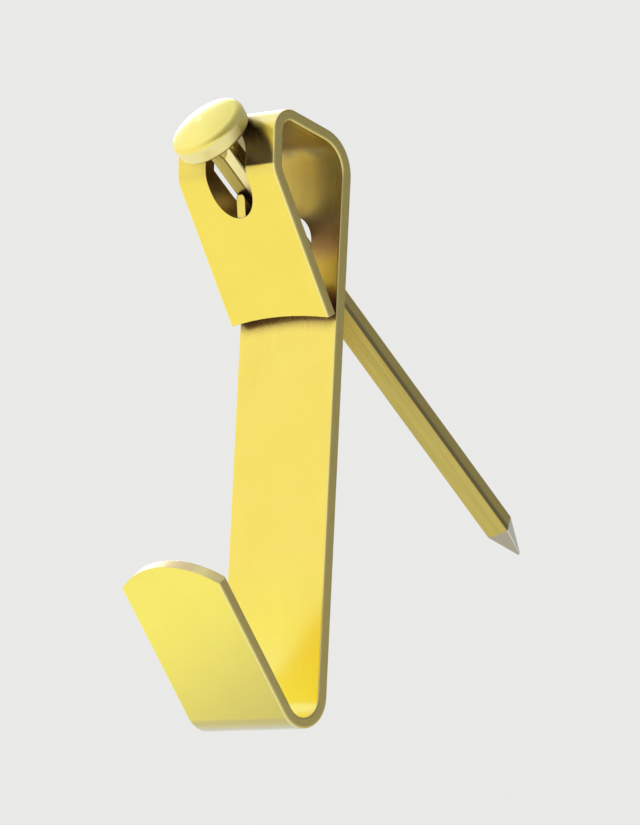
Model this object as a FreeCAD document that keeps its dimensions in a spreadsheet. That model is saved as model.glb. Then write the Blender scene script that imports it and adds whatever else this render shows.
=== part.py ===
import FreeCAD, Part

import math
import os

import Sketcher

# Picture hook: a strip of plated sheet folded into a catch below and a loop above,
# with a square-shank nail that slants down through the loop into the wall.
# Millimetres. X runs across the strip, the wall is the plane Y = 0, the room is at -Y,
# and Z is up. The origin is the centre of the strip's flat back face.

V = FreeCAD.Vector
doc = FreeCAD.newDocument("picture_hook")

# Driving dimensions

SIZES = {
    # the sheet that the hook is folded from
    "strip_width": 9.5,
    "gauge": 0.8,
    "edge_round": 0.16,
    # the catch, which takes the wire or ring, and its lip
    "catch_drop": 20.0,
    "catch_radius": 1.4,
    "lip_lean": 39.5,
    "lip_reach": 10.5,
    "lip_tip_radius": 8.0,
    # the loop: the knee and the straight front above it, the brow, the sloping top, the
    # shoulder where it meets the back, and the flap below the knee
    "knee_depth": 7.4,
    "knee_rise": 17.9,
    "knee_radius": 1.2,
    "front_lean": 2.0,
    "front_run": 2.28,
    "brow_radius": 0.7,
    "top_slope": 13.5,
    "shoulder_radius": 2.4,
    "flap_lean": 32.0,
    "flap_gap": 0.1,
    "flap_arch": 0.4,
    # the nail, whose axis passes a little below the centre of the brow's bend
    "nail_fall": 38.3,
    "nail_below_brow": 1.88,
    "shank_side": 1.65,
    "shank_turn": 23.0,
    "shank_round": 0.12,
    "shank_length": 40.2,
    "point_length": 2.7,
    "point_flat": 0.16,
    "head_radius": 2.82,
    "head_back_radius": 2.65,
    "rim_depth": 1.3,
    "rim_back_round": 0.3,
    "rim_front_round": 0.55,
    "dome_rise": 0.65,
    "neck_flare": 0.25,
    "neck_length": 1.5,
    "seat_gap": 0.08,
    # the pierced way for the nail
    "way_margin": 0.86,
    "way_over": 0.05,
    "way_under": 2.9,
    "way_past": 0.1,
    "rear_side": 0.85,
    "rear_over": 0.38,
    "rear_heel": 2.1,
    "petal": 0.5,
    "petal_drop": 0.3,
    "petal_reach": 3.4,
    "petal_end_height": 0.8,
    "tongue_width": 0.8,
    "tongue_bend": 0.12,
    "tongue_thickness": 0.62,
    "tongue_lean": 7.0,
    "tongue_round": 0.26,
}

sheet = doc.addObject("Spreadsheet::Sheet", "sizes")
for row, (alias, number) in enumerate(SIZES.items(), start=1):
    sheet.set("A%d" % row, alias)
    sheet.set("B%d" % row, str(number))
    sheet.setAlias("B%d" % row, alias)
doc.recompute()


def amount(formula):
    """The number that a formula of the sheet gives, in millimetres or degrees."""
    result = sheet.evalExpression(formula)
    return float(getattr(result, "Value", result))


# Two places closer than this are one place, when edges are picked out

HAIR = amount("sizes.gauge") / 100

# Formulas that more than one feature reads, all from the sheet


def sine(angle):
    return "sin(sizes.%s * 1 deg)" % angle


def cosine(angle):
    return "cos(sizes.%s * 1 deg)" % angle


def tangent(angle):
    return "tan(sizes.%s * 1 deg)" % angle


HALF_WIDTH = "sizes.strip_width / 2"
LIP_CROWN = "(sizes.lip_tip_radius - sqrt(sizes.lip_tip_radius ^ 2 - (%s) ^ 2))" % HALF_WIDTH
KNEE_OUTER = "(sizes.knee_radius + sizes.gauge)"
KNEE_CENTRE_DEPTH = "(sizes.knee_depth - %s)" % KNEE_OUTER
FLAP_END_DEPTH = "(sizes.gauge + sizes.flap_gap + sizes.gauge * %s)" % cosine("flap_lean")

# The brow's centre stands on the straight front, and the shoulder's centre comes from it
BROW_DEPTH = "(%s + (sizes.knee_radius - sizes.brow_radius) * %s + sizes.front_run * %s)" % (
    KNEE_CENTRE_DEPTH, cosine("front_lean"), sine("front_lean"))
BROW_HEIGHT = "(sizes.knee_rise - (sizes.knee_radius - sizes.brow_radius) * %s + sizes.front_run * %s)" % (
    sine("front_lean"), cosine("front_lean"))
SHOULDER_OUTER = "(sizes.shoulder_radius + sizes.gauge)"
SHOULDER_HEIGHT = "(%s - (sizes.shoulder_radius - sizes.brow_radius) / %s - (%s - %s) * %s)" % (
    BROW_HEIGHT, cosine("top_slope"), BROW_DEPTH, SHOULDER_OUTER, tangent("top_slope"))

# Half of the shank's breadth across its corners as seen from above, and the height
# that this takes up where the slanting shank passes an upright plane
NAIL_HALF = "(sizes.shank_side * (%s + %s) / 2)" % (cosine("shank_turn"), sine("shank_turn"))
NAIL_HALF_HEIGHT = "(%s / %s)" % (NAIL_HALF, cosine("nail_fall"))
NAIL_RISE = "(%s - %s * %s - sizes.nail_below_brow / %s)" % (
    BROW_HEIGHT, BROW_DEPTH, tangent("nail_fall"), cosine("nail_fall"))
NECK_RADIUS = "(%s + sizes.neck_flare)" % NAIL_HALF
NECK_HALF_HEIGHT = "(%s / %s)" % (NECK_RADIUS, cosine("nail_fall"))


def nail_axis_height(depth):
    """Height of the nail's axis at a distance in front of the wall."""
    return "(%s + (%s) * %s)" % (NAIL_RISE, depth, tangent("nail_fall"))


WAY_RADIUS = "(%s + sizes.way_margin)" % NAIL_HALF
WAY_TOP = "(%s + %s + sizes.way_over - %s)" % (
    nail_axis_height("sizes.knee_depth"), NECK_HALF_HEIGHT, WAY_RADIUS)
WAY_FOOT = "(%s - %s - sizes.way_under + %s)" % (
    nail_axis_height("sizes.knee_depth"), NAIL_HALF_HEIGHT, WAY_RADIUS)


def flap_depth(height, inset):
    """Depth of the flap in front of the wall at a height, on its outer face or inside it."""
    return "(%s + (%s - %s) * %s - (sizes.knee_rise - (%s - %s) * %s - (%s)) * %s)" % (
        KNEE_CENTRE_DEPTH, KNEE_OUTER, inset, cosine("flap_lean"),
        KNEE_OUTER, inset, sine("flap_lean"), height, tangent("flap_lean"))


def front_depth(height, inset):
    """Depth of the front at a height above the knee, on its outer face or inside it."""
    return "(%s + (%s - %s) / %s + ((%s) - sizes.knee_rise) * %s)" % (
        KNEE_CENTRE_DEPTH, KNEE_OUTER, inset, cosine("front_lean"),
        height, tangent("front_lean"))


# Sketch helpers


def origin_plane(body, role):
    for feature in body.Origin.OriginFeatures:
        if feature.Role == role:
            return feature


def add_sketch(body, role, name):
    sketch = body.newObject("Sketcher::SketchObject", name)
    sketch.AttachmentSupport = [(origin_plane(body, role), "")]
    sketch.MapMode = "FlatFace"
    return sketch


def shift_sketch(sketch, **formulas):
    """Move a sketch off its plane: x, y, z and turn, each a formula of the sheet."""
    for axis in "xyz":
        if axis in formulas:
            sketch.setExpression("AttachmentOffset.Base." + axis, formulas[axis])
    if "turn" in formulas:
        sketch.AttachmentOffset = FreeCAD.Placement(
            V(0, 0, 0), FreeCAD.Rotation(formulas["about"], amount(formulas["turn"])))
        sketch.setExpression("AttachmentOffset.Rotation.Angle", formulas["turn"])
    doc.recompute()


def drive(sketch, name, formula, kind, *where):
    """Add a dimension that follows a formula of the sheet."""
    index = sketch.addConstraint(Sketcher.Constraint(kind, *where, amount(formula)))
    sketch.renameConstraint(index, name)
    sketch.setExpression("Constraints." + name, formula)


def drive_angle(sketch, name, formula, *where):
    """Add an angle that follows a formula in degrees."""
    value = math.radians(amount(formula))
    index = sketch.addConstraint(Sketcher.Constraint("Angle", *where, value))
    sketch.renameConstraint(index, name)
    sketch.setExpression("Constraints." + name, "(%s) * 1 deg" % formula)


def relate(sketch, kind, *where):
    return sketch.addConstraint(Sketcher.Constraint(kind, *where))


def line(sketch, start, end):
    return sketch.addGeometry(Part.LineSegment(V(*start, 0), V(*end, 0)), False)


def arc(sketch, centre, radius, start_angle, end_angle):
    circle = Part.Circle(V(*centre, 0), V(0, 0, 1), radius)
    return sketch.addGeometry(Part.ArcOfCircle(circle, start_angle, end_angle), False)


# A sketch numbers the places on a piece upwards, and its own two axes downwards

WHOLE, START, END, CENTRE = range(4)
LEVEL_AXIS, UPRIGHT_AXIS = range(-1, -3, -1)
ORIGIN = (LEVEL_AXIS, START)


def slot_outline(sketch, radius, top, foot):
    """An upright slot on the centreline, between two end centres."""
    reach, high, low = amount(radius), amount(top), amount(foot)
    head = arc(sketch, (0, high), reach, 0, math.pi)
    left = line(sketch, (-reach, high), (-reach, low))
    heel = arc(sketch, (0, low), reach, math.pi, 2 * math.pi)
    right = line(sketch, (reach, low), (reach, high))
    ring = [head, left, heel, right]
    for before, after in zip(ring, ring[1:] + ring[:1]):
        relate(sketch, "Tangent", before, END, after, START)
    relate(sketch, "PointOnObject", head, CENTRE, UPRIGHT_AXIS)
    relate(sketch, "PointOnObject", heel, CENTRE, UPRIGHT_AXIS)
    relate(sketch, "Equal", head, heel)
    drive(sketch, "radius", radius, "Radius", head)
    drive(sketch, "top", top, "DistanceY", *ORIGIN, head, CENTRE)
    drive(sketch, "foot", foot, "DistanceY", *ORIGIN, heel, CENTRE)


def polygon(sketch, corners):
    """A closed outline in the side view; each corner is (depth, height) as formulas."""
    places = [(-amount(depth), amount(height)) for depth, height in corners]
    sides = []
    for start, end in zip(places, places[1:] + places[:1]):
        sides.append(line(sketch, start, end))
    for number, side in enumerate(sides):
        relate(sketch, "Coincident", side, END, sides[(number + 1) % len(sides)], START)
        depth, height = corners[number]
        drive(sketch, "depth_%d" % number, depth, "DistanceX", side, START, *ORIGIN)
        drive(sketch, "height_%d" % number, height, "DistanceY", *ORIGIN, side, START)


# Feature helpers


def pad(body, name, sketch, length):
    """Raise a sketch equally to both sides of its plane."""
    feature = body.newObject("PartDesign::Pad", name)
    feature.Profile = sketch
    feature.SideType = "Symmetric"
    feature.setExpression("Length", length)
    doc.recompute()
    return feature


def pocket(body, name, sketch, length, side="One side"):
    """Cut a sketch out of the body, and make sure that something was cut."""
    before = body.Shape.Volume
    feature = body.newObject("PartDesign::Pocket", name)
    feature.Profile = sketch
    feature.SideType = side
    feature.setExpression("Length", length)
    doc.recompute()
    print("%s takes off %.3f mm3" % (name, before - body.Shape.Volume))
    return feature


def fillet(body, name, base, edges, radius):
    """Round some edges, and the edges that run on smoothly from them."""
    before = body.Shape.Volume
    feature = body.newObject("PartDesign::Fillet", name)
    feature.Base = (base, edges)
    feature.setExpression("Radius", radius)
    doc.recompute()
    print("%s on %d edges takes off %.3f mm3" % (name, len(edges), before - body.Shape.Volume))


# The folded strip


def edge_view(sketch):
    """The strip seen edge on: lip, catch, back, shoulder, top, brow, front, knee and flap.

    All four bends turn the same way, so each pair of bend arcs is concentric, a gauge apart.
    """
    gauge = amount("sizes.gauge")
    lip, top, front, flap = [
        math.radians(amount("sizes." + name))
        for name in ("lip_lean", "top_slope", "front_lean", "flap_lean")]
    headings = [
        V(math.sin(lip), -math.cos(lip)),
        V(0, 1),
        V(-math.cos(top), math.sin(top)),
        V(math.sin(front), -math.cos(front)),
        V(math.sin(flap), -math.cos(flap)),
    ]
    outward = [V(way.y, -way.x) for way in headings]
    inner_radii = [
        amount("sizes." + name)
        for name in ("catch_radius", "shoulder_radius", "brow_radius", "knee_radius")]

    # Centres of the four bends
    catch_outer = inner_radii[0] + gauge
    centres = [
        V(-catch_outer, catch_outer - amount("sizes.catch_drop")),
        V(-amount(SHOULDER_OUTER), amount(SHOULDER_HEIGHT)),
        V(-amount(BROW_DEPTH), amount(BROW_HEIGHT)),
        V(-amount(KNEE_CENTRE_DEPTH), amount("sizes.knee_rise")),
    ]

    lip_length = amount("sizes.lip_reach + " + LIP_CROWN)
    flap_end_y = -amount(FLAP_END_DEPTH)

    def chain(extra):
        """One face of the sheet as lines and arcs, a distance outside the inner face."""
        pieces = []
        radii = [radius + extra for radius in inner_radii]
        first = centres[0] + outward[0] * radii[0]
        point = first - headings[0] * lip_length
        for number, (centre, radius) in enumerate(zip(centres, radii)):
            begin = centre + outward[number] * radius
            pieces.append(line(sketch, (point.x, point.y), (begin.x, begin.y)))
            start = math.atan2(outward[number].y, outward[number].x)
            end = math.atan2(outward[number + 1].y, outward[number + 1].x)
            if end < start:
                end += 2 * math.pi
            pieces.append(arc(sketch, (centre.x, centre.y), radius, start, end))
            point = centre + outward[number + 1] * radius
        inset = outward[4] * (extra - gauge)
        reach = (flap_end_y + inset.x - point.x) / headings[4].x
        last = point + headings[4] * reach
        pieces.append(line(sketch, (point.x, point.y), (last.x, last.y)))
        for before, after in zip(pieces, pieces[1:]):
            relate(sketch, "Tangent", before, END, after, START)
        return pieces

    outer = chain(gauge)
    inner = chain(0)

    # The outer face carries the dimensions
    back, lip_line, top_line, front_line, flap_line = (
        outer[2], outer[0], outer[4], outer[6], outer[8])
    relate(sketch, "Vertical", back)
    relate(sketch, "PointOnObject", back, START, UPRIGHT_AXIS)
    drive_angle(sketch, "lip_heading", "sizes.lip_lean - 90", lip_line)
    drive_angle(sketch, "top_heading", "180 - sizes.top_slope", top_line)
    drive_angle(sketch, "front_heading", "sizes.front_lean - 90", front_line)
    drive_angle(sketch, "flap_heading", "sizes.flap_lean - 90", flap_line)
    drive(sketch, "lip_length", "sizes.lip_reach + " + LIP_CROWN, "Distance", lip_line)
    drive(sketch, "catch_centre", "sizes.catch_drop - sizes.catch_radius - sizes.gauge",
          "DistanceY", outer[1], CENTRE, *ORIGIN)
    drive(sketch, "front_run", "sizes.front_run", "Distance", front_line)
    drive(sketch, "knee_height", "sizes.knee_rise", "DistanceY", *ORIGIN, outer[7], CENTRE)
    drive(sketch, "knee_centre", KNEE_CENTRE_DEPTH, "DistanceX", outer[7], CENTRE, *ORIGIN)
    drive(sketch, "flap_end", FLAP_END_DEPTH, "DistanceX", flap_line, END, *ORIGIN)

    # The inner face runs a gauge inside it, bend for bend
    for number, name in enumerate(("catch", "shoulder", "brow", "knee")):
        bend = 2 * number + 1
        drive(sketch, name + "_outer", "sizes.%s_radius + sizes.gauge" % name,
              "Radius", outer[bend])
        drive(sketch, name + "_inner", "sizes.%s_radius" % name, "Radius", inner[bend])
        relate(sketch, "Coincident", inner[bend], CENTRE, outer[bend], CENTRE)
    relate(sketch, "Parallel", inner[0], outer[0])
    relate(sketch, "Parallel", inner[8], outer[8])

    # Square ends close the outline
    for end_piece, which in ((0, START), (8, END)):
        tip, root = outer[end_piece], inner[end_piece]
        geometry = sketch.Geometry
        corner = geometry[tip].StartPoint if which == START else geometry[tip].EndPoint
        partner = geometry[root].StartPoint if which == START else geometry[root].EndPoint
        cap = line(sketch, (corner.x, corner.y), (partner.x, partner.y))
        relate(sketch, "Coincident", cap, START, tip, which)
        relate(sketch, "Coincident", cap, END, root, which)
        relate(sketch, "Perpendicular", cap, tip)


def build_strip():
    body = doc.addObject("PartDesign::Body", "strip_body")
    body.Label = "hook_strip"

    # Petals: the metal that the punch pushed inwards, which cradles the nail from below.
    # Their side view starts in the middle of the sheet and is cut to the way's outline.
    half_gauge = "sizes.gauge / 2"
    low = "(%s - %s - sizes.petal)" % (WAY_FOOT, WAY_RADIUS)
    end_depth = "(sizes.knee_depth - sizes.petal_reach)"
    end_top = "(%s - sizes.petal_drop)" % nail_axis_height(end_depth)
    front_top = "(%s - sizes.petal_drop)" % nail_axis_height("sizes.knee_depth - sizes.gauge / 2")
    side_view = add_sketch(body, "YZ_Plane", "petal_side_view")
    polygon(side_view, [
        (end_depth, end_top),
        (end_depth, "(%s - sizes.petal_end_height)" % end_top),
        (flap_depth(low, half_gauge), low),
        (front_depth("sizes.knee_rise - sizes.gauge", half_gauge), "sizes.knee_rise - sizes.gauge"),
        (front_depth(front_top, half_gauge), front_top),
    ])
    pad(body, "petal_block", side_view, "4 * (%s + sizes.petal)" % WAY_RADIUS)
    plan = add_sketch(body, "XZ_Plane", "petal_front_view")
    slot_outline(plan, "%s + sizes.petal" % WAY_RADIUS, WAY_TOP, WAY_FOOT)
    reach = amount("4 * sizes.strip_width")
    corners = [(-reach, -reach), (reach, -reach), (reach, reach), (-reach, reach)]
    frame = [line(plan, *pair) for pair in zip(corners, corners[1:] + corners[:1])]
    for before, after in zip(frame, frame[1:] + frame[:1]):
        relate(plan, "Coincident", before, END, after, START)
    for level in (frame[0], frame[2]):
        relate(plan, "Horizontal", level)
    for upright in (frame[1], frame[3]):
        relate(plan, "Vertical", upright)
    relate(plan, "Symmetric", frame[0], START, frame[2], START, *ORIGIN)
    drive(plan, "frame_width", "8 * sizes.strip_width", "Distance", frame[0])
    drive(plan, "frame_height", "8 * sizes.strip_width", "Distance", frame[1])
    pocket(body, "petal_trim", plan, "4 * sizes.knee_depth", "Symmetric")

    # The folded strip itself
    outline = add_sketch(body, "YZ_Plane", "strip_outline")
    edge_view(outline)
    doc.recompute()
    pad(body, "folded_strip", outline, "sizes.strip_width")

    # The lip's tip is cut to a shallow round
    tip = add_sketch(body, "XY_Plane", "lip_tip_cut")
    catch_outer = "(sizes.catch_radius + sizes.gauge)"
    shift_sketch(
        tip,
        y="-%s * (1 + %s)" % (catch_outer, cosine("lip_lean")),
        z="%s * (1 - %s) - sizes.catch_drop" % (catch_outer, sine("lip_lean")),
        turn="90 + sizes.lip_lean", about=V(1, 0, 0))
    half, crown = amount(HALF_WIDTH), amount(LIP_CROWN)
    reach, radius = amount("sizes.lip_reach"), amount("sizes.lip_tip_radius")
    spread = math.asin(half / radius)
    centre_y = reach + crown - radius
    over = reach + 2 * crown
    crest = arc(tip, (0, centre_y), radius, math.pi / 2 - spread, math.pi / 2 + spread)
    left = line(tip, (-half, reach), (-half, over))
    across = line(tip, (-half, over), (half, over))
    right = line(tip, (half, over), (half, reach))
    for before, before_end, after in (
            (crest, END, left), (left, END, across), (across, END, right)):
        relate(tip, "Coincident", before, before_end, after, START)
    relate(tip, "Coincident", right, END, crest, START)
    relate(tip, "Vertical", left)
    relate(tip, "Vertical", right)
    relate(tip, "PointOnObject", crest, CENTRE, UPRIGHT_AXIS)
    relate(tip, "Symmetric", across, START, across, END, UPRIGHT_AXIS)
    drive(tip, "tip_radius", "sizes.lip_tip_radius", "Radius", crest)
    drive(tip, "tip_width", "sizes.strip_width", "Distance", across)
    drive(tip, "corner_height", "sizes.lip_reach", "DistanceY", *ORIGIN, left, START)
    drive(tip, "cut_height", "2 * " + LIP_CROWN, "Distance", left)
    pocket(body, "lip_tip", tip, "4 * sizes.gauge", "Symmetric")

    # The flap's end is cut to a shallow arch
    arch = add_sketch(body, "XY_Plane", "flap_arch_cut")
    flap_end_height = "(sizes.knee_rise - %s * %s - (%s + %s * %s - %s) / %s)" % (
        KNEE_OUTER, sine("flap_lean"), KNEE_CENTRE_DEPTH, KNEE_OUTER,
        cosine("flap_lean"), FLAP_END_DEPTH, tangent("flap_lean"))
    shift_sketch(arch, y="-" + FLAP_END_DEPTH, z=flap_end_height,
                 turn="90 + sizes.flap_lean", about=V(1, 0, 0))
    rise = amount("sizes.flap_arch")
    arch_radius = (half ** 2 + rise ** 2) / (2 * rise)
    spread = math.asin(half / arch_radius)
    curve = arc(arch, (0, rise - arch_radius), arch_radius,
                math.pi / 2 - spread, math.pi / 2 + spread)
    chord = line(arch, (-half, 0), (half, 0))
    relate(arch, "Coincident", curve, END, chord, START)
    relate(arch, "Coincident", curve, START, chord, END)
    relate(arch, "Horizontal", chord)
    relate(arch, "PointOnObject", chord, START, LEVEL_AXIS)
    relate(arch, "PointOnObject", curve, CENTRE, UPRIGHT_AXIS)
    drive(arch, "arch_radius", "((%s) ^ 2 + sizes.flap_arch ^ 2) / (2 * sizes.flap_arch)" % HALF_WIDTH,
          "Radius", curve)
    drive(arch, "arch_width", "sizes.strip_width", "Distance", chord)
    pocket(body, "flap_arch", arch, "sizes.gauge + sizes.flap_gap / 2")

    # The way for the nail through the front, and on between the petals, where it stops
    # lower so as to stay clear of the top
    for name, top, reach in (
            ("nail_way", WAY_TOP, "3 * sizes.gauge"),
            ("petal_way", front_top, "sizes.gauge + sizes.petal_reach + sizes.way_past")):
        way = add_sketch(body, "XZ_Plane", name + "_outline")
        shift_sketch(way, z="sizes.knee_depth + sizes.gauge")
        slot_outline(way, WAY_RADIUS, top, WAY_FOOT)
        pocket(body, name, way, reach)

    # The slot in the back is wider than the nail all round, and longer below so that the
    # nail can be entered and the head tipped
    rear = add_sketch(body, "XZ_Plane", "rear_slot_outline")
    shift_sketch(rear, z="sizes.gauge + sizes.flap_gap / 2")
    rear_radius = "(%s + sizes.rear_side)" % NAIL_HALF
    slot_outline(
        rear, rear_radius,
        "(%s + %s + sizes.rear_over - %s)" % (
            nail_axis_height("sizes.gauge"), NAIL_HALF_HEIGHT, rear_radius),
        "(%s - %s - sizes.rear_heel + %s)" % (NAIL_RISE, NAIL_HALF_HEIGHT, rear_radius))
    pocket(body, "rear_slot", rear, "2 * sizes.gauge")

    # The tongue is left standing at the foot of the way, is bent out just below it, and
    # rises to the nail's underside
    foot = "(%s - %s - sizes.tongue_bend)" % (WAY_FOOT, WAY_RADIUS)
    foot_depth = flap_depth(foot, "0")
    root = "(%s - sizes.gauge / 2)" % foot
    root_depth = flap_depth(root, half_gauge)
    top_depth = "(%s + (%s - %s) * %s)" % (
        foot_depth, "sizes.way_under", "sizes.gauge", tangent("tongue_lean"))
    outer_top = "(%s - %s - sizes.seat_gap)" % (nail_axis_height(top_depth), NAIL_HALF_HEIGHT)
    back_depth = "(%s - sizes.tongue_thickness)" % top_depth
    inner_top = "(%s - %s - sizes.seat_gap)" % (nail_axis_height(back_depth), NAIL_HALF_HEIGHT)
    tongue_view = add_sketch(body, "YZ_Plane", "tongue_side_view")
    polygon(tongue_view, [
        (top_depth, outer_top),
        (back_depth, inner_top),
        ("(%s - sizes.tongue_thickness)" % foot_depth, foot),
        (root_depth, root),
        (foot_depth, foot),
    ])
    tongue = pad(body, "tongue", tongue_view, "sizes.tongue_width")

    # Its two top corners are rounded
    low, high = sorted((amount(inner_top), amount(outer_top)))
    beside = amount("sizes.tongue_width / 2")
    corners = []
    for number, edge in enumerate(tongue.Shape.Edges, start=1):
        box = edge.BoundBox
        across = box.XLength < HAIR and abs(abs(box.Center.x) - beside) < HAIR
        if across and abs(box.ZMin - low) < HAIR and abs(box.ZMax - high) < HAIR:
            corners.append("Edge%d" % number)
    fillet(body, "tongue_rounding", tongue, corners, "sizes.tongue_round")

    # Both faces' long edges are rolled; each chain is found by its run up the back
    back_run = amount("%s + sizes.catch_drop - sizes.catch_radius - sizes.gauge" % SHOULDER_HEIGHT)
    runs = []
    for number, edge in enumerate(body.Shape.Edges, start=1):
        box = edge.BoundBox
        outermost = abs(abs(box.Center.x) - amount(HALF_WIDTH)) < HAIR
        if outermost and box.YLength < HAIR and abs(box.ZLength - back_run) < HAIR:
            runs.append("Edge%d" % number)
    fillet(body, "edge_rounding", body.Tip, runs, "sizes.edge_round")
    return body


strip_body = build_strip()

# The nail


def rounded_square(sketch, side, corner):
    """A square with rounded corners, centred on the sketch's origin."""
    half, radius = amount(side) / 2, amount(corner)
    flat = half - radius
    quarter = math.pi / 2
    pieces = []
    for turn in range(4):
        way = FreeCAD.Rotation(V(0, 0, 1), 90 * turn)
        start, end, centre = [
            way.multVec(V(*place, 0)) for place in ((half, -flat), (half, flat), (flat, flat))]
        pieces.append(line(sketch, (start.x, start.y), (end.x, end.y)))
        pieces.append(arc(sketch, (centre.x, centre.y), radius,
                          quarter * turn, quarter * (turn + 1)))
    for before, after in zip(pieces, pieces[1:] + pieces[:1]):
        relate(sketch, "Tangent", before, END, after, START)
    for upright in (pieces[0], pieces[4]):
        relate(sketch, "Vertical", upright)
    for level in (pieces[2], pieces[6]):
        relate(sketch, "Horizontal", level)
    for other in (pieces[3], pieces[5], pieces[7]):
        relate(sketch, "Equal", pieces[1], other)
    relate(sketch, "Symmetric", pieces[1], CENTRE, pieces[5], CENTRE, *ORIGIN)
    drive(sketch, "corner", corner, "Radius", pieces[1])
    drive(sketch, "breadth", side, "DistanceX", pieces[4], START, pieces[0], START)
    drive(sketch, "height", side, "DistanceY", pieces[6], START, pieces[2], START)


# Distance along the nail from the wall face to the underside of the head, which seats on
# the brow: the brow's outer face seen along the nail, and a small gap
SEAT = "(%s * %s + (%s - %s) * %s + sizes.brow_radius + sizes.gauge + sizes.seat_gap)" % (
    BROW_DEPTH, cosine("nail_fall"), BROW_HEIGHT, NAIL_RISE, sine("nail_fall"))


def build_nail():
    body = doc.addObject("PartDesign::Body", "nail_body")
    body.Label = "nail"

    # Local Z runs up the nail from the underside of the head, so the shank is below zero
    shank_view = add_sketch(body, "XY_Plane", "shank_section")
    shift_sketch(shank_view, turn="sizes.shank_turn", about=V(0, 0, 1))
    rounded_square(shank_view, "sizes.shank_side", "sizes.shank_round")
    shank = body.newObject("PartDesign::Pad", "shank")
    shank.Profile = shank_view
    shank.Reversed = True
    shank.setExpression("Length", "sizes.shank_length - sizes.point_length")
    doc.recompute()

    # The cut point is a long pyramid
    base_view = add_sketch(body, "XY_Plane", "point_base")
    shift_sketch(base_view, z="sizes.point_length - sizes.shank_length",
                 turn="sizes.shank_turn", about=V(0, 0, 1))
    rounded_square(base_view, "sizes.shank_side", "sizes.shank_round")
    tip_view = add_sketch(body, "XY_Plane", "point_tip")
    shift_sketch(tip_view, z="-sizes.shank_length", turn="sizes.shank_turn", about=V(0, 0, 1))
    rounded_square(tip_view, "sizes.point_flat", "sizes.point_flat / 4")
    point = body.newObject("PartDesign::AdditiveLoft", "point")
    point.Profile = base_view
    point.Sections = [tip_view]
    point.Ruled = True
    doc.recompute()

    # Head and neck in one turned outline: dome, rim, flat underside and flared neck
    turned = add_sketch(body, "XZ_Plane", "head_half_section")
    face = amount("sizes.rim_depth")
    wide, narrow = amount("sizes.head_radius"), amount("sizes.head_back_radius")
    neck, drop = amount(NECK_RADIUS), amount("sizes.neck_length")
    rise = amount("sizes.dome_rise")
    dome_radius = (wide ** 2 + rise ** 2) / (2 * rise)
    crown = face + rise
    side_angle = math.acos(wide / dome_radius)
    slim = amount("sizes.shank_side") / 2 - amount("sizes.shank_round")
    dome = arc(turned, (0, crown - dome_radius), dome_radius, side_angle, math.pi / 2)
    axis = line(turned, (0, crown), (0, -drop))
    bottom = line(turned, (0, -drop), (slim, -drop))
    flare = line(turned, (slim, -drop), (neck, 0))
    underside = line(turned, (neck, 0), (narrow, 0))
    side = line(turned, (narrow, 0), (wide, face))
    ring = [dome, axis, bottom, flare, underside, side]
    for before, after in zip(ring, ring[1:] + ring[:1]):
        relate(turned, "Coincident", before, END, after, START)
    relate(turned, "PointOnObject", dome, CENTRE, UPRIGHT_AXIS)
    relate(turned, "Vertical", axis)
    relate(turned, "PointOnObject", axis, START, UPRIGHT_AXIS)
    relate(turned, "Horizontal", bottom)
    drive(turned, "dome", "(sizes.head_radius ^ 2 + sizes.dome_rise ^ 2) / (2 * sizes.dome_rise)",
          "Radius", dome)
    drive(turned, "neck_end", "sizes.shank_side / 2 - sizes.shank_round", "Distance", bottom)
    drive(turned, "neck_drop", "sizes.neck_length", "DistanceY", bottom, END, *ORIGIN)
    drive(turned, "neck_top", NECK_RADIUS, "DistanceX", *ORIGIN, flare, END)
    relate(turned, "PointOnObject", flare, END, LEVEL_AXIS)
    drive(turned, "back_radius", "sizes.head_back_radius", "DistanceX", *ORIGIN, side, START)
    relate(turned, "Horizontal", underside)
    drive(turned, "rim_radius", "sizes.head_radius", "DistanceX", *ORIGIN, side, END)
    drive(turned, "rim_height", "sizes.rim_depth", "DistanceY", *ORIGIN, side, END)
    head = body.newObject("PartDesign::Revolution", "head")
    head.Profile = turned
    head.ReferenceAxis = (turned, ["V_Axis"])
    head.Angle = 360
    doc.recompute()

    # The rim's two edges are rolled over, the front one more
    for name, radius in (("rim_back", "sizes.head_back_radius"),
                         ("rim_front", "sizes.head_radius")):
        base = body.Tip
        rim = []
        for number, edge in enumerate(base.Shape.Edges, start=1):
            reach = max(math.hypot(end.Point.x, end.Point.y) for end in edge.Vertexes)
            level = not edge.Degenerated and edge.BoundBox.ZLength < HAIR
            if level and abs(reach - amount(radius)) < HAIR:
                rim.append("Edge%d" % number)
        fillet(body, name + "_rounding", base, rim, "sizes.%s_round" % name)

    # Lay it in the strip: the axis slants down to the wall and the head meets the brow
    body.Placement = FreeCAD.Placement(
        V(0, 0, 0), FreeCAD.Rotation(V(1, 0, 0), 90 - amount("sizes.nail_fall")))
    body.setExpression("Placement.Rotation.Angle", "90 - sizes.nail_fall")
    body.setExpression("Placement.Base.y", "-%s * %s" % (SEAT, cosine("nail_fall")))
    body.setExpression("Placement.Base.z", "%s + %s * %s" % (
        NAIL_RISE, SEAT, sine("nail_fall")))
    doc.recompute()
    return body


nail_body = build_nail()

# Checks and export

for item in doc.Objects:
    faults = [word for word in item.State if word in ("Invalid", "Error")]
    if faults:
        raise RuntimeError("%s did not build: %s" % (item.Name, faults))
    if item.TypeId == "Sketcher::SketchObject":
        print("%s fully constrained: %s" % (item.Name, item.FullyConstrained))

os.makedirs("parts", exist_ok=True)
for body in (strip_body, nail_body):
    shape = body.Shape
    if shape.isNull() or not shape.isValid() or len(shape.Solids) != 1:
        raise RuntimeError("%s has no valid single solid" % body.Label)
    box = shape.BoundBox
    print("%s: %.3f mm3, X %.2f..%.2f, Y %.2f..%.2f, Z %.2f..%.2f" % (
        body.Label, shape.Volume, box.XMin, box.XMax, box.YMin, box.YMax, box.ZMin, box.ZMax))
    shape.exportStep("parts/%s.step" % body.Label)
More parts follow.
